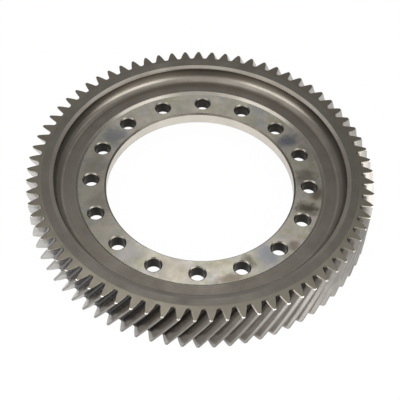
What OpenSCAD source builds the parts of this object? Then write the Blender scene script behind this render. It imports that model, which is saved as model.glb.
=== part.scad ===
// Helical ring gear: a toothed rim around a bolted flange, turned and cut from one forging.
// The origin is on the bore's axis, half way through the face width. +Z leaves the ground face
// on top, and +X runs through the middle of a bolt hole.

/* [Teeth] */
// Number of teeth
tooth_count = 73; // [71:1:84]
// Normal module (mm)
normal_module = 2.75; // [2.7:0.05:3]
// Helix angle at the pitch circle (degrees)
helix_angle = 28.7; // [20:0.1:31]
// Hand of the helix
helix_hand = "right"; // [right, left]
// Normal pressure angle (degrees)
pressure_angle = 18; // [17:0.5:20]
// Profile shift, in modules
profile_shift = -0.38; // [-0.45:0.01:-0.3]
// Height of the tip above the pitch circle, in modules
tip_height = 1.2; // [1:0.02:1.24]
// Depth of the root below the pitch circle, in modules
root_depth = 1.74; // [1.5:0.02:1.8]
// Depth of the rounded part of the root, in modules
root_round = 0.45; // [0.3:0.01:0.6]
// Chamfer around the ends of the teeth (mm)
tooth_chamfer = 0.4; // [0.2:0.05:0.5]
// Turn of the teeth from the bolt hole on +X, at mid width (degrees)
tooth_turn = 3.9; // [0:0.1:5]

/* [Rim] */
// Face width of the rim (mm)
face_w = 34.4; // [30:0.2:40]
// Metal between the root circle and the rim's inner edge (mm)
rim_t = 10.6; // [8:0.1:12]
// Slope of the end faces across the teeth (degrees)
cone_angle = 7.6; // [2:0.1:12]
// Start of that slope, inside the root circle (mm)
cone_inset = 2.2; // [1:0.1:4]
// Width of the bevel on the rim's inner edge (mm)
bevel_w = 3; // [1:0.1:4]
// Height of the bevel on the rim's inner edge (mm)
bevel_h = 0.5; // [0.3:0.1:1.5]
// Draft of the rim's inner wall (degrees)
wall_draft = 2; // [0.5:0.5:12]
// Chamfer on the tip circle's corners (mm)
tip_chamfer = 0.5; // [0.2:0.1:0.9]

/* [Web] */
// Thickness of the web between the flange and the rim (mm)
web_t = 13.3; // [12:0.1:15]
// Radius of the fillet between the web and the rim (mm)
fillet_r = 5.25; // [3:0.25:6]

/* [Flange] */
// Ground face between the bore and the bolt circle (mm)
bore_land = 10.5; // [9:0.25:13]
// Chamfer on the bore's edges (mm)
bore_chamfer = 1.1; // [0.4:0.1:1.5]
// Thickness of the flange between its ground faces (mm)
flange_t = 10; // [8:0.1:11]
// Ground face beyond the bolt circle (mm)
land_w = 8.7; // [8:0.1:10]

/* [Bolt holes] */
// Bolt circle diameter (mm)
bolt_circle_d = 150; // [148:0.5:152]
// Number of bolt holes
bolt_count = 16; // [8:1:20]
// Bolt diameter (mm)
bolt_d = 10; // [8:1:10]
// Clearance of the bolt in its hole, on the diameter (mm)
bolt_clear = 0.3; // [0.2:0.1:1]
// Chamfer on the holes' edges (mm)
hole_chamfer = 0.85; // [0.3:0.05:1]

/* [Hidden] */
$fn = 180;
// tooth form, in the plane square to the axis
hand = helix_hand == "right" ? 1 : -1;
pitch_r = normal_module * tooth_count / cos(helix_angle) / 2;
flank_angle = atan(tan(pressure_angle) / cos(helix_angle));
base_r = pitch_r * cos(flank_angle);
tip_r = pitch_r + tip_height * normal_module;
root_r = pitch_r - root_depth * normal_module;
round_r = root_r + root_round * normal_module;
twist = hand * tan(helix_angle) / pitch_r * 180 / PI;
half_tooth = 45 * (1 + 4 * profile_shift * tan(pressure_angle) / PI) / tooth_count * 2;
// the gap between two teeth as it is cut: it runs out past the tip circle and both end faces
past_tip = 0.5;
past_end = 0.1;
gap_r = tip_r + past_tip;
flank_steps = 2;
root_steps = 2;
width_steps = 2;
// turned section
half_w = face_w / 2;
cone_r = root_r - cone_inset;
tip_z = half_w - (tip_r - cone_r) * tan(cone_angle);
inner_r = root_r - rim_t;
inner_z = half_w - bevel_h;
web_z = web_t / 2;
land_z = flange_t / 2;
land_r = bolt_circle_d / 2 + land_w;
step_r = land_r + web_z - land_z;
bore_r = bolt_circle_d / 2 - bore_land;
fillet_z = web_z + fillet_r;
wall_r = inner_r - (inner_z - fillet_z) * tan(wall_draft);
fillet_x = wall_r - fillet_r / cos(wall_draft);
wall_x = fillet_x + fillet_r * cos(wall_draft);
wall_z = fillet_z - fillet_r * sin(wall_draft);
hole_r = (bolt_d + bolt_clear) / 2;
// how far a cut runs past the metal that it takes away
cut_past = 1;
cone_h = hole_chamfer + cut_past;
clear_z = half_w + cut_past;

// The involute of an angle, in degrees
function involute(a) = tan(a) * 180 / PI - a;

// Half the angle that a gap spans at a radius
function half_gap(r) =
    180 / tooth_count - half_tooth - involute(flank_angle) + involute(acos(min(1, base_r / r)));

// One flank from the outside in, then the rounded root, as [radius, angle]
function flank() = [
    for (i = [0 : flank_steps])
        let (r = gap_r - (gap_r - round_r) * i / flank_steps)
        [r, half_gap(r)]
];
function root() = [
    for (i = [1 : root_steps - 1])
        let (t = 90 * i / root_steps)
        [round_r - (round_r - root_r) * sin(t), half_gap(round_r) * cos(t)]
];
half_line = concat(flank(), root());
side = len(half_line);
gap_line = concat(
    half_line,
    [[root_r, 0]],
    [for (i = [side - 1 : -1 : 0]) [half_line[i][0], -half_line[i][1]]]
);
count = len(gap_line);
flat_line = [for (p = gap_line) [p[0] * cos(p[1]), p[0] * sin(p[1])]];

// Direction square to the line at a point, out of the gap and into the metal
function out_of_gap(i) =
    let (d = flat_line[min(i + 1, count - 1)] - flat_line[max(i - 1, 0)])
    [d[1], -d[0]] / norm(d);

// Height of the end face at a radius
function end_z(r) = half_w - max(0, r - cone_r) * tan(cone_angle);

// A point of the gap, moved into the metal by grow and turned by the helix to its height
function gap_point(i, z, grow) =
    let (p = flat_line[i] + grow * out_of_gap(i), a = z * twist)
    [p[0] * cos(a) - p[1] * sin(a), p[0] * sin(a) + p[1] * cos(a), z];

// Each section follows the slope of the end faces; the first and last are opened by the chamfer
function section(s, past, grow) = [
    for (i = [0 : count - 1])
        gap_point(i, s * (end_z(gap_line[i][0]) + past), grow)
];
sections = concat(
    [section(-1, past_end, tooth_chamfer + past_end)],
    [for (k = [0 : width_steps]) section(2 * k / width_steps - 1, -tooth_chamfer, 0)],
    [section(1, past_end, tooth_chamfer + past_end)]
);
gap_points = [for (s = sections) each s];
layers = len(sections);
gap_sides = [
    for (j = [0 : layers - 2], i = [0 : count - 1])
        let (a = j * count + i, b = j * count + (i + 1) % count)
        each [[a, a + count, b], [b, a + count, b + count]]
];
// each end is closed by strips across the gap
function strips(j) = [
    for (k = [0 : side - 1])
        let (a = j * count + k, b = j * count + count - 1 - k)
        each (k < side - 1 ? [[a, a + 1, b], [b, a + 1, b - 1]] : [[a, a + 1, b]])
];
gap_ends = concat(
    strips(0),
    [for (f = strips(layers - 1)) [f[2], f[1], f[0]]]
);

module tooth_gaps() {
    for (k = [0 : tooth_count - 1])
        rotate([0, 0, tooth_turn + (k + 0.5) * 360 / tooth_count])
            polyhedron(points = gap_points, faces = concat(gap_sides, gap_ends));
}

// The recess between the flange and the rim, on the upper side
module recess_2d() {
    polygon([
        [0, land_z],
        [land_r, land_z],
        [step_r, web_z],
        [fillet_x, web_z],
        [fillet_x, fillet_z],
        [wall_x, wall_z],
        [inner_r, inner_z],
        [inner_r + bevel_w, half_w],
        [inner_r + bevel_w, clear_z],
        [0, clear_z]
    ]);
    translate([fillet_x, fillet_z]) circle(r = fillet_r);
}

module blank_2d() {
    difference() {
        polygon([
            [bore_r, -half_w],
            [cone_r, -half_w],
            [tip_r - tip_chamfer, -end_z(tip_r - tip_chamfer)],
            [tip_r, -tip_z + tip_chamfer],
            [tip_r, tip_z - tip_chamfer],
            [tip_r - tip_chamfer, end_z(tip_r - tip_chamfer)],
            [cone_r, half_w],
            [bore_r, half_w]
        ]);
        recess_2d();
        mirror([0, 1]) recess_2d();
        // chamfers of the bore
        for (s = [-1, 1])
            polygon([
                [bore_r - cut_past, s * (land_z - bore_chamfer - cut_past)],
                [bore_r + bore_chamfer + cut_past, s * (land_z + cut_past)],
                [bore_r - cut_past, s * (land_z + cut_past)]
            ]);
    }
}

module bolt_hole() {
    translate([bolt_circle_d / 2, 0, 0]) {
        cylinder(r = hole_r, h = flange_t + 2 * cut_past, center = true);
        for (s = [0, 1])
            mirror([0, 0, s])
                translate([0, 0, land_z - hole_chamfer])
                    cylinder(r1 = hole_r, r2 = hole_r + cone_h, h = cone_h);
    }
}

module ring_gear() {
    color("#77726b")
        difference() {
            rotate_extrude() blank_2d();
            tooth_gaps();
            for (k = [0 : bolt_count - 1])
                rotate([0, 0, k * 360 / bolt_count])
                    bolt_hole();
        }
}

ring_gear();
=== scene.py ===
import bmesh
import bpy
import numpy as np
from mathutils import Matrix, Vector, geometry


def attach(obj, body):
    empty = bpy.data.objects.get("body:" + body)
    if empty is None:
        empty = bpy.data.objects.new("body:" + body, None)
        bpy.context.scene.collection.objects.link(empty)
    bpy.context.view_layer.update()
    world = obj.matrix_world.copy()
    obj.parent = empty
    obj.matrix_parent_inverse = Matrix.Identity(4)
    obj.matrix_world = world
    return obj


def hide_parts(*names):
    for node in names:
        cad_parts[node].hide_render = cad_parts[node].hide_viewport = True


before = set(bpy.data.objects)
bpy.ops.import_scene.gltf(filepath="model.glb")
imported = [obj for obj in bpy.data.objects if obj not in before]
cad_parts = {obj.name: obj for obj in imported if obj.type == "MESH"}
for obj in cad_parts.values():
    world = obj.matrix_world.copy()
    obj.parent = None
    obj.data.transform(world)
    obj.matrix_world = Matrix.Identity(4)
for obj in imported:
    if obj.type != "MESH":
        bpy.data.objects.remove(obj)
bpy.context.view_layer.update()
print("frame loaded")

# the ring gear: sizes in mm and degrees, with the source's own tooth form drawn finer
ringGear = {
    "teeth": 73,
    "module": 2.75,
    "helixAngle": 28.7,
    "pressureAngle": 18,
    "profileShift": -0.38,
    "tipHeight": 1.2,
    "rootDepth": 1.74,
    "rootRound": 0.45,
    "toothTurn": 3.9,
    "faceWidth": 34.4,
    "coneAngle": 7.6,
    "coneInset": 2.2,
    "endRound": 0.4,  # rounding of the tooth ends, left by the deburring brush
    "flankSteps": 8,
    "widthSteps": 12,
    "roundSteps": 4,
    "rimThickness": 10.6,
    "bevelWidth": 3,
    "bevelHeight": 0.5,
    "wallDraft": 2,
    "webThickness": 13.3,
    "filletRadius": 5.25,
    "filletSteps": 10,
    "flangeThickness": 10,
    "landRadius": 83.7,
    "boreRadius": 64.5,
    "boreChamfer": 1.1,
    "boreSteps": 360,
    "edgeRound": 0.5,  # rounding of the bevel's inner edge and of the step's top
    "edgeSteps": 4,
    "cornerRound": 0.2,  # the same, of the corners inside the bore and the holes
    "cornerSteps": 3,
    "guardWidth": 0.15,  # flats have a row this close to a rounding, which keeps its shading off them
    "holeCircle": 75,
    "holes": 16,
    "holeRadius": 5.15,
    "holeChamfer": 0.85,
    "holeBackChamfer": 0.35,  # seen through the holes, their far edges are only just broken
    "holeSteps": 48,
}

gear = ringGear
mm = 0.001
halfWidth = gear["faceWidth"] / 2
landHeight = gear["flangeThickness"] / 2
webHeight = gear["webThickness"] / 2
pitchAngle = 2 * np.pi / gear["teeth"]


# involute of an angle, in radians: its tangent less the angle itself
def involute(angle):
    return np.tan(angle) - angle


helix = np.radians(gear["helixAngle"])
normalPressure = np.radians(gear["pressureAngle"])
pitchRadius = gear["module"] * gear["teeth"] / np.cos(helix) / 2
pressure = np.arctan(np.tan(normalPressure) / np.cos(helix))
baseRadius = pitchRadius * np.cos(pressure)
tipRadius = pitchRadius + gear["tipHeight"] * gear["module"]
rootRadius = pitchRadius - gear["rootDepth"] * gear["module"]
roundRadius = rootRadius + gear["rootRound"] * gear["module"]
coneRadius = rootRadius - gear["coneInset"]
innerRadius = rootRadius - gear["rimThickness"]
twist = np.tan(helix) / pitchRadius
halfAtPitch = (np.pi / 2 + 2 * gear["profileShift"] * np.tan(normalPressure)) / gear["teeth"]


# half the angle a tooth spans at radius r: that at the pitch circle plus the involute there,
# less the involute of the angle whose cosine is base radius over r
def halfTooth(r):
    return halfAtPitch + involute(pressure) - involute(np.arccos(np.minimum(1, baseRadius / r)))


# height of the end face at radius r: flat, then falling outwards at the cone angle
def endHeight(r):
    return halfWidth - np.maximum(0, r - coneRadius) * np.tan(np.radians(gear["coneAngle"]))


# one pitch from gap centre to gap centre, as radius and angle from the tooth's centre:
# a quarter ellipse at the root, the involute flank and half the tip, then the same mirrored
def toothLine():
    quarter = np.radians([90, 60, 30])
    halfGap = pitchAngle / 2 - halfTooth(roundRadius)
    flankRadius = np.linspace(roundRadius, tipRadius, gear["flankSteps"] + 1)
    r = np.concatenate([roundRadius - (roundRadius - rootRadius) * np.sin(quarter), flankRadius])
    a = np.concatenate([pitchAngle / 2 - halfGap * np.cos(quarter), halfTooth(flankRadius)])
    return np.concatenate([r, [tipRadius], r[:0:-1]]), np.concatenate([-a, [0], a[:0:-1]])


# the same line moved by grow into the metal, square to the chord between each point's neighbours
def shrunkLine(r, a, grow):
    line = np.stack([r * np.cos(a), r * np.sin(a)], -1)
    turn = np.array(
        [[np.cos(pitchAngle), np.sin(pitchAngle)], [-np.sin(pitchAngle), np.cos(pitchAngle)]]
    )
    chord = np.vstack([line[1:], line[0] @ turn]) - np.vstack([line[-1] @ turn.T, line[:-1]])
    chord /= np.linalg.norm(chord, axis=1)[:, None]
    moved = line + grow * np.stack([-chord[:, 1], chord[:, 0]], -1)
    return np.hypot(moved[:, 0], moved[:, 1]), np.arctan2(moved[:, 1], moved[:, 0])


# all teeth at one height: each pitch turned to its place, and turned on by the helix with height
def toothRing(r, a, z):
    k = np.arange(gear["teeth"])[:, None]
    angle = np.radians(gear["toothTurn"]) + k * pitchAngle + a + z * twist
    return np.stack(
        [r * np.cos(angle), r * np.sin(angle), np.broadcast_to(z, angle.shape)], -1
    ).reshape(-1, 3)


sheets = []  # each holds points in mm, faces and the finish's name


def addSheet(points, faces, finish):
    sheets.append((np.asarray(points, float), np.asarray(faces, int), finish))


# rows of points joined by quads and closed round the ring, or only the quads of the marked columns
def addRows(rows, finish, marked=None):
    rows = np.asarray(rows, float)
    count, around = rows.shape[:2]
    columns = np.arange(around) if marked is None else np.flatnonzero(marked)
    i, j = np.meshgrid(np.arange(count - 1), columns, indexing="ij")
    n = (j + 1) % around
    quads = np.stack([i * around + j, i * around + n, (i + 1) * around + n, (i + 1) * around + j], -1)
    addSheet(rows.reshape(-1, 3), quads.reshape(-1, 4), finish)


# flanks, tips and roots run from one end face to the other at equal steps;
# each end closes over a quarter round: inwards by 1 - cos t and out by sin t
def addTeeth():
    r, a = toothLine()
    c = gear["endRound"]
    share = np.linspace(-1, 1, gear["widthSteps"] + 1)
    rows = [toothRing(r, a, s * (endHeight(r) - c)) for s in share]
    isTip = np.tile((r > tipRadius - 1e-6) & (np.roll(r, -1) > tipRadius - 1e-6), gear["teeth"])
    addRows(rows, "hobbed", ~isTip)
    addRows(rows, "tipLand", isTip)
    for side in (-1, 1):
        rows = []
        for t in np.linspace(0, np.pi / 2, gear["roundSteps"] + 1):
            rr, aa = shrunkLine(r, a, c * (1 - np.cos(t)))
            rows.append(toothRing(rr, aa, side * (endHeight(rr) - c * (1 - np.sin(t)))))
        addRows(rows, "deburred")
        addRows([rows[-1], onCircle(rows[-1], coneRadius, side * halfWidth)], "coneFace")
        addFan(onCircle(rows[-1], coneRadius, side * halfWidth), innerRadius + gear["bevelWidth"])


# the points dropped along their own radii to a circle
def onCircle(points, r, z):
    angle = np.arctan2(points[:, 1], points[:, 0])
    return np.stack([r * np.cos(angle), r * np.sin(angle), np.full(len(angle), z)], -1)


# a flat ring inwards from a circle of points to one with a third as many
def addFan(circle, r):
    inner = onCircle(circle[::3], r, circle[0, 2])
    n = len(inner)
    k = np.arange(n)
    fine, coarse = 3 * k, 3 * n + k
    nextFine, nextCoarse = (3 * k + 3) % (3 * n), 3 * n + (k + 1) % n
    faces = np.concatenate([
        np.stack([fine, fine + 1, coarse], -1),
        np.stack([fine + 1, nextCoarse, coarse], -1),
        np.stack([fine + 1, fine + 2, nextCoarse], -1),
        np.stack([fine + 2, nextFine, nextCoarse], -1),
    ])
    addSheet(np.concatenate([circle, inner]), faces, "endFace")
    sideAngles[circle[0, 2] > 0] = np.arctan2(inner[:, 1], inner[:, 0])


sideAngles = {}  # the angles of the turned circles on each side, shared with the teeth's own points


# a corner of a profile turned into an arc that meets both of its sides: each point is the centre plus
# the first and last spokes, weighted by the sines of the angle still to go and of that already gone
def arcCorner(before, corner, after, radius, steps):
    u = (before - corner) / np.linalg.norm(before - corner)
    v = (after - corner) / np.linalg.norm(after - corner)
    half = np.arccos(np.clip(u @ v, -1, 1)) / 2
    centre = corner + (u + v) / np.linalg.norm(u + v) * radius / np.sin(half)
    start = corner + u * radius / np.tan(half) - centre
    end = corner + v * radius / np.tan(half) - centre
    t = np.linspace(0, 1, steps + 1)[:, None]
    whole = np.pi - 2 * half
    return centre + (np.sin((1 - t) * whole) * start + np.sin(t * whole) * end) / np.sin(whole)


# the point on the straight line from start to end that lies one guard width from start
def guard(start, end):
    return start + (end - start) / np.linalg.norm(end - start) * gear["guardWidth"]


# a profile of radius and height swept round an axis at the given angles: x and y are the centre's
# plus the radius times the cosine and the sine
def sweep(profile, angles, centre=(0, 0)):
    r, z = profile[:, 0, None], profile[:, 1, None]
    x, y = centre[0] + r * np.cos(angles), centre[1] + r * np.sin(angles)
    return np.stack([x, y, np.broadcast_to(z, x.shape)], -1)


# bevel, wall, fillet, web and step, from the rim's end face in to the ground face
def addTurnedSide(side):
    angles = sideAngles[side > 0]
    draft = np.radians(gear["wallDraft"])
    fillet = gear["filletRadius"]
    bevelTop = np.array([innerRadius + gear["bevelWidth"], halfWidth])
    edge = np.array([innerRadius, halfWidth - gear["bevelHeight"]])
    filletHeight = webHeight + fillet
    centre = np.array([
        innerRadius - (edge[1] - filletHeight) * np.tan(draft) - fillet / np.cos(draft),
        filletHeight,
    ])
    turn = np.linspace(-draft, -np.pi / 2, gear["filletSteps"] + 1)
    arc = centre + fillet * np.stack([np.cos(turn), np.sin(turn)], -1)
    stepTop = np.array([gear["landRadius"] + webHeight - landHeight, webHeight])
    landEdge = np.array([gear["landRadius"], landHeight])
    flip = np.array([1, side])
    rimEdge = arcCorner(bevelTop, edge, arc[0], gear["edgeRound"], gear["edgeSteps"])
    lip = arcCorner(arc[-1], stepTop, landEdge, gear["edgeRound"], gear["edgeSteps"])
    bevel = np.vstack([bevelTop, guard(rimEdge[0], bevelTop), rimEdge])
    wall = np.vstack([rimEdge[-1], guard(rimEdge[-1], arc[0]), arc, guard(arc[-1], lip[0]),
                      guard(lip[0], arc[-1]), lip[0]])
    step = np.vstack([lip, guard(lip[-1], landEdge), landEdge])
    addRows(sweep(bevel * flip, angles), "bevel")
    addRows(sweep(wall * flip, angles), "turned")
    addRows(sweep(step * flip, angles), "toolEdge")
    return sweep(np.array([landEdge * flip]), angles)[0]


# the flat ground face: triangles between its edge, the bore and the holes. A point belongs to the
# loop whose circle it lies on: 0 is the edge, 1 the bore and 2 onwards the holes
def addLand(rim, side):
    borePoints = boreRow(side)
    loops = [rim, borePoints] + [holeRow(k, side) for k in range(gear["holes"])]
    starts = np.cumsum([0] + [len(loop) for loop in loops])
    edges = [
        (int(starts[i] + j), int(starts[i] + (j + 1) % len(loop)))
        for i, loop in enumerate(loops)
        for j in range(len(loop))
    ]
    flat = [Vector(p) for p in np.concatenate(loops)[:, :2]]
    found = geometry.delaunay_2d_cdt(flat, edges, [], 0, 1e-7)
    points = np.array([(p.x, p.y) for p in found[0]])
    faces = np.array([f for f in found[2]])
    slack = 0.01  # mm
    loopOf = np.zeros(len(points), int)
    loopOf[np.hypot(*points.T) < gear["boreRadius"] + gear["boreChamfer"] + slack] = 1
    for k in range(gear["holes"]):
        away = np.hypot(*(points - holeCentre(k)).T)
        loopOf[away < gear["holeRadius"] + gear["holeChamfer"] + slack] = k + 2
    corners = loopOf[faces]
    # a triangle with all its corners on one round hole lies inside it
    keep = (corners.min(1) != corners.max(1)) | (corners[:, 0] == 0)
    heights = np.full((len(points), 1), side * landHeight)
    addSheet(np.hstack([points, heights]), faces[keep], "ground")


def holeCentre(k):
    angle = 2 * np.pi * k / gear["holes"]
    return gear["holeCircle"] * np.array([np.cos(angle), np.sin(angle)])


boreAngles = np.linspace(0, 2 * np.pi, gear["boreSteps"], endpoint=False)
holeAngles = np.linspace(0, 2 * np.pi, gear["holeSteps"], endpoint=False)


# chamfer, wall, chamfer, with the corners between them just broken
def addHole(radius, chamfer, backChamfer, edgeFinish, wallFinish, angles, centre=(0, 0)):
    ends = []
    for flip, size in (([1, 1], chamfer), ([1, -1], backChamfer)):
        top = np.array([radius + size, landHeight])
        corner = np.array([radius, landHeight - size])
        rounded = arcCorner(top, corner, corner * [1, -1], gear["cornerRound"], gear["cornerSteps"])
        addRows(sweep(np.vstack([top, rounded]) * flip, angles, centre), edgeFinish)
        ends.append(rounded[-1] * flip)
    addRows(sweep(np.vstack(ends), angles, centre), wallFinish)


def boreRow(side):
    return sweep(np.array([[gear["boreRadius"] + gear["boreChamfer"], side * landHeight]]), boreAngles)[0]


def holeRow(k, side):
    chamfer = gear["holeChamfer"] if side > 0 else gear["holeBackChamfer"]
    edge = np.array([[gear["holeRadius"] + chamfer, side * landHeight]])
    return sweep(edge, holeAngles, holeCentre(k))[0]


addTeeth()
for side in (-1, 1):
    addLand(addTurnedSide(side), side)
addHole(gear["boreRadius"], gear["boreChamfer"], gear["boreChamfer"], "scaled", "bore", boreAngles)
for k in range(gear["holes"]):
    addHole(gear["holeRadius"], gear["holeChamfer"], gear["holeBackChamfer"], "countersunk", "drilled",
            holeAngles, holeCentre(k))
print("sheets worked out:", len(sheets))


# hex sRGB to linear: below 0.04045 divide by 12.92, above it raise to 2.4
def linear(colour):
    c = np.array([int(colour[i:i + 2], 16) for i in (1, 3, 5)]) / 255
    return (*np.where(c <= 0.04045, c / 12.92, ((c + 0.055) / 1.055) ** 2.4), 1)


# one node with its settings, its socket values and its links
def node(tree, kind, settings=None, values=None, links=None):
    made = tree.nodes.new(kind)
    for name, value in (settings or {}).items():
        setattr(made, name, value)
    for name, value in (values or {}).items():
        made.inputs[name].default_value = value
    for name, source in (links or {}).items():
        tree.links.new(source, made.inputs[name])
    return made


def newMaterial(name):
    material = bpy.data.materials.new(name)
    material.use_nodes = True
    material.node_tree.nodes.clear()
    return material, material.node_tree


# steel that is not polished: tone varies in clouds and in fine grain, with rings left by the tool;
# grooves is how far the turned grooves smear a reflection across themselves
finishes = {
    # web and rim wall, turned after forging and shot blasted: a soft brown-grey sheen
    "turned": {
        "name": "turnedCaseHardenedSteel",
        "light": "#827d76", "dark": "#6e6962", "clouds": 22, "grain": 0.9,
        "roughness": (0.27, 0.37), "rings": 0.35, "bump": 0.02,
    },
    # end faces of the rim, faced and shot blasted: duller and a little warmer
    "endFace": {
        "name": "facedCaseHardenedSteel",
        "light": "#807c75", "dark": "#6b6761", "clouds": 18, "grain": 0.8,
        "roughness": (0.28, 0.38), "rings": 0.25, "bump": 0.02,
    },
    # the rim's bevel, cut last by a fresh tool: smoother than the faces beside it
    "bevel": {
        "name": "turnedBevelSteel",
        "light": "#7c7872", "dark": "#6e6a64", "clouds": 20, "grain": 0.8,
        "roughness": (0.1, 0.15), "rings": 0.2, "bump": 0.006, "grooves": 0.3,
    },
    # step around the ground face, cut by a pointed tool: bright grooves that smear light across them
    "toolEdge": {
        "name": "toolTurnedSteel",
        "light": "#a39f98", "dark": "#8f8b84", "clouds": 20, "grain": 0.8,
        "roughness": (0.3, 0.36), "rings": 0.2, "bump": 0.01, "grooves": 0.85,
    },
    # slope across the tooth ends, turned finer than the face: brighter, straw tinted by its tempering
    "coneFace": {
        "name": "turnedConeSteel",
        "light": "#8e897e", "dark": "#7a756b", "clouds": 15, "grain": 0.7,
        "roughness": (0.28, 0.38), "rings": 0.2, "bump": 0.015,
    },
    # tooth flanks, hobbed and lapped: bright with faint streaks along the tooth
    "hobbed": {
        "name": "hobbedToothSteel",
        "light": "#b5b1ad", "dark": "#9b9793", "clouds": 12, "grain": 0.6,
        "roughness": (0.14, 0.22), "rings": 0.1, "bump": 0.01,
    },
    # narrow lands on the tooth tips, left from the turned blank: duller than the flanks
    "tipLand": {
        "name": "turnedTipSteel",
        "light": "#8e8a85", "dark": "#787570", "clouds": 10, "grain": 0.6,
        "roughness": (0.22, 0.3), "rings": 0, "bump": 0.01,
    },
    # tooth ends rounded by a wire brush: bright and smoother
    "deburred": {
        "name": "brushedEdgeSteel",
        "light": "#989489", "dark": "#77736b", "clouds": 4, "grain": 0.5,
        "roughness": (0.12, 0.22), "rings": 0, "bump": 0.01,
    },
    # seating face, ground: near mirror, under an oil film and storage stains
    "ground": {
        "name": "groundFaceSteel",
        "light": "#b6b3a8", "dark": "#9d9a90", "clouds": 14, "grain": 0.5,
        "roughness": (0.14, 0.24), "rings": 0.12, "bump": 0.008,
    },
    # bore, ground all round: even and bright
    "bore": {
        "name": "groundBoreSteel",
        "light": "#d8d3cb", "dark": "#c8c3ba", "clouds": 25, "grain": 0.5,
        "roughness": (0.18, 0.26), "rings": 0, "bump": 0.006,
    },
    # bolt holes, drilled and reamed: coloured dark, partly as their own oily dark metal and partly as
    # painted shade for the shade inside the holes
    "drilled": {
        "name": "shadedDrilledHoleSteel",
        "light": "#3d3a36", "dark": "#262421", "clouds": 6, "grain": 0.5,
        "roughness": (0.22, 0.34), "rings": 0, "bump": 0.01,
    },
    # the holes' chamfers, cut by a countersink: duller than the ground face, with a few glints
    "countersunk": {
        "name": "countersunkSteel",
        "light": "#8a867e", "dark": "#65615a", "clouds": 5, "grain": 0.5,
        "roughness": (0.28, 0.38), "rings": 0, "bump": 0.01,
    },
    # the bore's chamfers, left with the dark skin of the hardening furnace
    "scaled": {
        "name": "furnaceSkinSteel",
        "light": "#736e67", "dark": "#55504a", "clouds": 9, "grain": 0.5,
        "roughness": (0.4, 0.5), "rings": 0, "bump": 0.01,
    },
}


# the noise that all finishes share: the grain's part beside the clouds, how far from its middle the
# sum runs from dark to light, the width of a ring in mm, and the strength of the bump
steelNoise = {"grainPart": 0.3, "reach": 0.22, "ring": 0.714, "bump": 0.3}


# clouds and grain are given in mm; a noise feature is about one over its scale, in metres. Real
# grain is under 0.1 mm and the tool's rings about 0.2 mm: both are drawn coarser, so that they show
def steelMaterial(finish):
    look = finishes[finish]
    material, tree = newMaterial(look["name"])
    place = node(tree, "ShaderNodeTexCoord").outputs["Object"]
    clouds = node(tree, "ShaderNodeTexNoise", None,
                  {"Scale": 1000 / look["clouds"], "Detail": 4, "Roughness": 0.55}, {"Vector": place})
    grain = node(tree, "ShaderNodeTexNoise", None,
                 {"Scale": 1000 / look["grain"], "Detail": 2, "Roughness": 0.6}, {"Vector": place})
    flat = node(tree, "ShaderNodeVectorMath", {"operation": "MULTIPLY"}, {1: (1, 1, 0)}, {0: place})
    radius = node(tree, "ShaderNodeVectorMath", {"operation": "LENGTH"}, None, {0: flat.outputs[0]})
    rings = node(tree, "ShaderNodeTexNoise", {"noise_dimensions": "1D"},
                 {"Scale": 1000 / steelNoise["ring"], "Detail": 2}, {"W": radius.outputs["Value"]})
    mixed = node(tree, "ShaderNodeMath", {"operation": "MULTIPLY_ADD"}, {1: steelNoise["grainPart"]},
                 {0: grain.outputs[0], 2: clouds.outputs[0]})
    ringed = node(tree, "ShaderNodeMath", {"operation": "MULTIPLY_ADD"}, {1: look["rings"]},
                  {0: rings.outputs[0], 2: mixed.outputs[0]})
    middle = (1 + steelNoise["grainPart"] + look["rings"]) / 2
    reach = steelNoise["reach"]
    spread = node(tree, "ShaderNodeMapRange", None,
                  {"From Min": middle - reach, "From Max": middle + reach}, {"Value": ringed.outputs[0]})
    tone = node(tree, "ShaderNodeMix", {"data_type": "RGBA"},
                {6: linear(look["dark"]), 7: linear(look["light"])}, {0: spread.outputs[0]})
    dull = node(tree, "ShaderNodeMapRange", None,
                {"To Min": look["roughness"][1], "To Max": look["roughness"][0]},
                {"Value": spread.outputs[0]})
    height = node(tree, "ShaderNodeBump", None,
                  {"Strength": steelNoise["bump"], "Distance": look["bump"] * mm},
                  {"Height": ringed.outputs[0]})
    colour = tone.outputs[2]
    if finish == "ground":
        colour, dull = addStains(tree, place, colour, dull)
    # painted shade in the gap bottoms of the flanks
    if finish == "hobbed":
        colour = paintRootShade(tree, radius.outputs["Value"], colour)
    # painted sheen and painted shade on the rim's wall
    if finish == "turned":
        colour = paintWallSheenAndShade(tree, place, colour)
    # painted glints and painted shade on the rounded tooth ends
    if finish == "deburred":
        colour = paintEndGlintsAndShade(tree, radius.outputs["Value"], colour)
    shader = node(tree, "ShaderNodeBsdfPrincipled", None,
                  {"Metallic": 1, "Anisotropic": look.get("grooves", 0)},
                  {"Base Color": colour, "Roughness": dull.outputs[0], "Normal": height.outputs[0]})
    if "grooves" in look:
        # the wide side of the smear points along the radius, across the turned grooves
        across = node(tree, "ShaderNodeVectorTransform",
                      {"vector_type": "VECTOR", "convert_from": "OBJECT", "convert_to": "WORLD"},
                      None, {"Vector": flat.outputs[0]})
        tree.links.new(across.outputs[0], shader.inputs["Tangent"])
    node(tree, "ShaderNodeOutputMaterial", None, None, {"Surface": shader.outputs[0]})
    return material


# storage stains: place as angle and radius, half size across and along the ring in mm, colour, and
# how much of it covers the steel
stains = (
    (7, 74, 9, 9, "#5f5b54", 0.75),
    (34, 74, 10, 6, "#5c606b", 0.85),
    (22, 80, 5, 14, "#6f6b64", 0.5),
    (147, 74, 10, 10, "#70747b", 0.75),
    (172, 73, 10, 16, "#77746f", 0.6),
    (197, 71, 9, 12, "#7b7671", 0.6),
    (232, 75, 9, 8, "#b5b0b4", 0.5),
    (258, 74, 12, 16, "#aca498", 0.6),
    (282, 68, 4, 9, "#8f8a6d", 0.5),
    (286, 81, 4, 14, "#756a5f", 0.7),
    (297, 72, 6, 4, "#66645f", 0.7),
    (307, 74, 10, 7, "#8d919c", 0.7),
    (321, 80, 4, 5, "#6f6358", 0.7),
    (345, 75, 9, 6, "#453f39", 0.85),
    (356, 80, 6, 7, "#554a44", 0.75),
)


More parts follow.
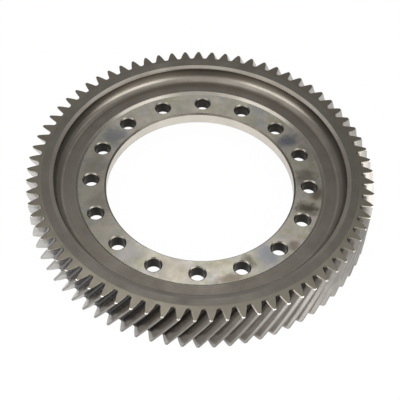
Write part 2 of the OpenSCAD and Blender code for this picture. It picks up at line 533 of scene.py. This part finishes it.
# the oil film's tints: colour, cloud size in mm, and a shift of its noise in metres
films = (("#8d929c", 16, 0), ("#b5a8a2", 12, 0.31), ("#96957c", 13, 0.62))


# first the oil film, then each stain as an oval, frayed by noise 6 mm across: full inside, fading to
# nothing where its length passes 1.3, and rougher than the steel
def addStains(tree, place, colour, dull):
    for hexColour, size, shift in films:
        moved = node(tree, "ShaderNodeMapping", None, {"Location": (shift, 0.17, 0)}, {"Vector": place})
        film = node(tree, "ShaderNodeTexNoise", None,
                    {"Scale": 1000 / size, "Detail": 8, "Roughness": 0.68, "Distortion": 0.4},
                    {"Vector": moved.outputs[0]})
        amount = node(tree, "ShaderNodeMapRange", None,
                      {"From Min": 0.49, "From Max": 0.61, "To Max": 0.55}, {"Value": film.outputs[0]})
        colour = node(tree, "ShaderNodeMix", {"data_type": "RGBA"}, {7: linear(hexColour)},
                      {0: amount.outputs[0], 6: colour}).outputs[2]
    fray = node(tree, "ShaderNodeTexNoise", None, {"Scale": 170, "Detail": 9, "Roughness": 0.72},
                {"Vector": place})
    # twice the noise less one, so that it pushes either way
    push = node(tree, "ShaderNodeVectorMath", {"operation": "MULTIPLY_ADD"},
                {1: (2, 2, 0), 2: (-1, -1, 0)}, {0: fray.outputs["Color"]})
    for turn, radius, across, along, hexColour, cover in stains:
        t = np.radians(turn)
        oval = node(tree, "ShaderNodeMapping", {"vector_type": "TEXTURE"}, {
            "Location": (radius * np.cos(t) * mm, radius * np.sin(t) * mm, 0),
            "Rotation": (0, 0, t), "Scale": (across * mm, along * mm, 1),
        }, {"Vector": place})
        frayed = node(tree, "ShaderNodeVectorMath", {"operation": "ADD"}, None,
                      {0: oval.outputs[0], 1: push.outputs[0]})
        length = node(tree, "ShaderNodeVectorMath", {"operation": "LENGTH"}, None, {0: frayed.outputs[0]})
        amount = node(tree, "ShaderNodeMapRange", {"interpolation_type": "SMOOTHSTEP"},
                      {"From Min": 1.3, "From Max": 0.3, "To Max": cover},
                      {"Value": length.outputs["Value"]})
        colour = node(tree, "ShaderNodeMix", {"data_type": "RGBA"}, {7: linear(hexColour)},
                      {0: amount.outputs[0], 6: colour}).outputs[2]
        dull = node(tree, "ShaderNodeMath", {"operation": "MULTIPLY_ADD"}, {1: 0.06},
                    {0: amount.outputs[0], 2: dull.outputs[0]})
    return colour, dull


# blends to a tone while the measure goes from none to full, both in mm, up to the share most
def tint(tree, measure, none, full, tone, colour, most=1, blend="SMOOTHSTEP"):
    share = node(tree, "ShaderNodeMapRange", {"interpolation_type": blend},
                 {"From Min": none * mm, "From Max": full * mm, "To Max": most}, {"Value": measure})
    return node(tree, "ShaderNodeMix", {"data_type": "RGBA"}, {7: linear(tone)},
                {0: share.outputs[0], 6: colour}).outputs[2]


# painted shade in the gap bottoms: none at mid flank, darkest below the rounded root
def paintRootShade(tree, radius, colour):
    return tint(tree, radius, roundRadius + 1.3, rootRadius + 0.2, "#1f1c1a", colour, 0.96)


# painted glints on the rounded tooth ends, near white from about 1 mm below the tip circle, and painted
# shade darkening them towards the gap bottoms
def paintEndGlintsAndShade(tree, radius, colour):
    colour = tint(tree, radius, tipRadius - 1.1, tipRadius - 0.7, "#ebe8e2", colour, blend="LINEAR")
    return tint(tree, radius, roundRadius + 0.4, rootRadius + 0.2, "#4f4b46", colour, blend="LINEAR")


# the rim's wall: a painted sheen from 7 to 11 mm high, then painted shade darkening it up to the bevel
def paintWallSheenAndShade(tree, place, colour):
    height = node(tree, "ShaderNodeSeparateXYZ", None, None, {0: place})
    away = node(tree, "ShaderNodeMath", {"operation": "ABSOLUTE"}, None, {0: height.outputs["Z"]})
    colour = tint(tree, away.outputs[0], 7, 11, "#938e87", colour)
    return tint(tree, away.outputs[0], 11.5, 16.5, "#5b5651", colour)


# sheets joined into one closed mesh; edges where two finishes meet at an angle stay sharp
def buildMesh(name):
    names = list(finishes)
    points = np.concatenate([s[0] for s in sheets]) * mm
    starts = np.cumsum([0] + [len(s[0]) for s in sheets])
    faces, finishOf, sheetOf = [], [], []
    for number, (sheet, start) in enumerate(zip(sheets, starts)):
        faces += (sheet[1] + start).tolist()
        finishOf += [names.index(sheet[2])] * len(sheet[1])
        sheetOf += [number] * len(sheet[1])
    mesh = bpy.data.meshes.new(name)
    mesh.from_pydata(points.tolist(), [], faces)
    mesh.polygons.foreach_set("material_index", finishOf)
    mesh.polygons.foreach_set("use_smooth", [True] * len(faces))
    mesh.attributes.new("sheet", "INT", "FACE").data.foreach_set("value", sheetOf)
    work = bmesh.new()
    work.from_mesh(mesh)
    # points less than a thousandth of a mm apart are one
    bmesh.ops.remove_doubles(work, verts=work.verts, dist=0.001 * mm)
    bmesh.ops.recalc_face_normals(work, faces=work.faces)
    work.to_mesh(mesh)
    openEdges = sum(1 for e in work.edges if len(e.link_faces) != 2)
    work.free()
    print("triangles:", sum(len(p.vertices) - 2 for p in mesh.polygons), "open edges:", openEdges)
    sharpen(mesh)
    mesh.attributes.remove(mesh.attributes["sheet"])
    return mesh


# turns, in degrees, past which an edge is sharp: inside one sheet, and from sheet to sheet
sharpTurn = {"inside": 32, "between": 3}


# the faces of each edge are found by sorting all loops by their edge: two loops to each edge
def sharpen(mesh):
    edgeOf = np.zeros(len(mesh.loops), int)
    mesh.loops.foreach_get("edge_index", edgeOf)
    count = np.zeros(len(mesh.polygons), int)
    mesh.polygons.foreach_get("loop_total", count)
    normals = np.zeros(len(mesh.polygons) * 3)
    mesh.polygons.foreach_get("normal", normals)
    normals = normals.reshape(-1, 3)
    sheet = np.zeros(len(mesh.polygons), int)
    mesh.attributes["sheet"].data.foreach_get("value", sheet)
    faceOf = np.repeat(np.arange(len(count)), count)
    pairs = faceOf[np.argsort(edgeOf, kind="stable")].reshape(-1, 2)
    cosine = np.einsum("ij,ij->i", normals[pairs[:, 0]], normals[pairs[:, 1]])
    crossed = sheet[pairs[:, 0]] != sheet[pairs[:, 1]]
    limits = {place: np.cos(np.radians(angle)) for place, angle in sharpTurn.items()}
    sharp = (cosine < limits["inside"]) | (crossed & (cosine < limits["between"]))
    flags = mesh.attributes.new("sharp_edge", "BOOLEAN", "EDGE")
    flags.data.foreach_set("value", sharp)


body = bpy.data.objects.new("ringGear", buildMesh("ringGear"))
bpy.context.collection.objects.link(body)
for finish in finishes:
    body.data.materials.append(steelMaterial(finish))
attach(body, "root")
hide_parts("ring_gear")
print("ring gear built")

# the studio: a white floor, and a tent with soft patches of light on its wall and ceiling
studio = {
    "floorSize": 8,  # metres along each side
    "floorGap": 0.05,  # mm below the rim, so that the two never share a plane
    "floorWhite": 0.98,  # share of plain white that the camera sees on the floor
    "floorGlow": 0.52,  # the same for mirror rays: less, so that metal shows the shade under the gear
    "tentRadius": 1.1,  # metres
    "tentRings": 16,
    "tentSides": 48,
    "canvas": (1, 0.985, 0.96, 1),  # its light is a touch warm
    "wallGlow": 0.34,
    "worldLight": 0.6,  # what reaches the object past the tent
    # each lamp: turn from straight ahead of the camera (right is positive), height, both in degrees,
    # half width of its full and of its faded part, and the light it adds to the wall's
    "lamps": (
        (-128, 15, 15, 32, 3),
        (129, 20, 17, 32, 3.5),
        (-128, 50, 14, 30, 0.5),
        (180, 70, 15, 35, 0.6),
        (180, 30, 15, 45, 0.06),
        (-158, 50, 30, 62, 0.5),
        (-60, 74, 8, 26, 0.7),
        (75, 55, 8, 22, 0.9),
        (-28, 45, 10, 38, 0.12),
        (-65, 35, 8, 24, 0.2),
        (-3, 58.5, 2, 6, 1.75),
        (12, 57, 3, 7, 0.85),
        (0, 46, 4, 10, 0.42),
    ),
}


# share of plain white for a ray: one value from the camera, another off metal and through glass
def seenWhite(tree, toCamera, toMirror):
    rays = node(tree, "ShaderNodeLightPath")
    bounced = node(tree, "ShaderNodeMath", {"operation": "MAXIMUM"}, None,
                   {0: rays.outputs["Is Glossy Ray"], 1: rays.outputs["Is Transmission Ray"]})
    part = node(tree, "ShaderNodeMath", {"operation": "MULTIPLY"}, {1: toMirror}, {0: bounced.outputs[0]})
    return node(tree, "ShaderNodeMath", {"operation": "MULTIPLY_ADD"}, {1: toCamera},
                {0: rays.outputs["Is Camera Ray"], 2: part.outputs[0]}).outputs[0]


def addFloor():
    half = studio["floorSize"] / 2
    z = -(halfWidth + studio["floorGap"]) * mm
    mesh = bpy.data.meshes.new("floor")
    mesh.from_pydata([(-half, -half, z), (half, -half, z), (half, half, z), (-half, half, z)], [],
                     [(0, 1, 2, 3)])
    floor = bpy.data.objects.new("floor", mesh)
    bpy.context.collection.objects.link(floor)
    material, tree = newMaterial("whiteSweep")
    paper = node(tree, "ShaderNodeBsdfPrincipled", None,
                 {"Base Color": linear("#f4f4f2"), "Roughness": 0.9, "Specular IOR Level": 0.1})
    glow = node(tree, "ShaderNodeEmission", None, {"Strength": 1})
    share = seenWhite(tree, studio["floorWhite"], studio["floorGlow"])
    mix = node(tree, "ShaderNodeMixShader", None, None,
               {0: share, 1: paper.outputs[0], 2: glow.outputs[0]})
    node(tree, "ShaderNodeOutputMaterial", None, None, {"Surface": mix.outputs[0]})
    mesh.materials.append(material)


# a half sphere around the object: points at radius times the cosines and sines of two angles
def addTent():
    rings, sides = studio["tentRings"], studio["tentSides"]
    up, around = np.meshgrid(
        np.linspace(0, np.pi / 2, rings + 1), np.linspace(0, 2 * np.pi, sides + 1), indexing="ij"
    )
    radius = studio["tentRadius"]
    points = radius * np.stack(
        [np.cos(up) * np.cos(around), np.cos(up) * np.sin(around), np.sin(up)], -1
    ).reshape(-1, 3)
    i, j = np.meshgrid(np.arange(rings), np.arange(sides), indexing="ij")
    corner = i * (sides + 1) + j
    quads = np.stack([corner, corner + sides + 1, corner + sides + 2, corner + 1], -1)
    mesh = bpy.data.meshes.new("lightTent")
    mesh.from_pydata(points.tolist(), [], quads.reshape(-1, 4).tolist())
    tent = bpy.data.objects.new("lightTent", mesh)
    bpy.context.collection.objects.link(tent)
    tent.visible_camera = False
    tent.visible_shadow = False
    material, tree = newMaterial("litCanvas")
    place = node(tree, "ShaderNodeTexCoord").outputs["Object"]
    outward = node(tree, "ShaderNodeVectorMath", {"operation": "NORMALIZE"}, None, {0: place})
    glow = None
    for turn, height, full, faded, light in studio["lamps"]:
        t, h = np.radians(turn), np.radians(height)
        to = (np.sin(t) * np.cos(h), np.cos(t) * np.cos(h), np.sin(h))
        near = node(tree, "ShaderNodeVectorMath", {"operation": "DOT_PRODUCT"}, {1: to},
                    {0: outward.outputs[0]})
        patch = node(tree, "ShaderNodeMapRange", {"interpolation_type": "SMOOTHSTEP"},
                     {"From Min": np.cos(np.radians(faded)), "From Max": np.cos(np.radians(full)),
                      "To Max": light}, {"Value": near.outputs["Value"]})
        last = {0: patch.outputs[0]} if glow is None else {0: patch.outputs[0], 1: glow}
        first = {1: studio["wallGlow"]} if glow is None else {}
        glow = node(tree, "ShaderNodeMath", {"operation": "ADD"}, first, last).outputs[0]
    canvas = node(tree, "ShaderNodeEmission", None, {"Color": studio["canvas"]}, {"Strength": glow})
    node(tree, "ShaderNodeOutputMaterial", None, None, {"Surface": canvas.outputs[0]})
    mesh.materials.append(material)


def addWorld():
    world = bpy.data.worlds.new("studio")
    world.use_nodes = True
    tree = world.node_tree
    tree.nodes.clear()
    plain = node(tree, "ShaderNodeBackground", None, {"Strength": studio["worldLight"]})
    white = node(tree, "ShaderNodeBackground", None, {"Color": (1, 1, 1, 1), "Strength": 1})
    mix = node(tree, "ShaderNodeMixShader", None, None,
               {0: seenWhite(tree, 1, 1), 1: plain.outputs[0], 2: white.outputs[0]})
    node(tree, "ShaderNodeOutputWorld", None, None, {"Surface": mix.outputs[0]})
    bpy.context.scene.world = world


addFloor()
addTent()
addWorld()
print("studio set")

# the camera's place, aim and roll were fitted to the photograph
camera = {
    "place": (-0.00328, -0.45253, 0.55891),
    "aim": (0.00018, -0.01498, 0.005),
    "roll": 2.267,
    "lens": 93.817,
    "sensor": 36,
    "clip": (0.01, 50),
}


# looks from place to aim with the horizon level, then rolls about its own axis
def addCamera():
    data = bpy.data.cameras.new("camera")
    data.lens = camera["lens"]
    data.sensor_width = camera["sensor"]
    data.clip_start, data.clip_end = camera["clip"]
    eye = bpy.data.objects.new("camera", data)
    bpy.context.collection.objects.link(eye)
    look = Vector(camera["aim"]) - Vector(camera["place"])
    turn = look.to_track_quat("-Z", "Y").to_matrix() @ Matrix.Rotation(np.radians(camera["roll"]), 3, "Z")
    eye.matrix_world = Matrix.Translation(camera["place"]) @ turn.to_4x4()
    bpy.context.scene.camera = eye


addCamera()
bpy.context.scene.view_settings.view_transform = "Standard"
print("camera set")
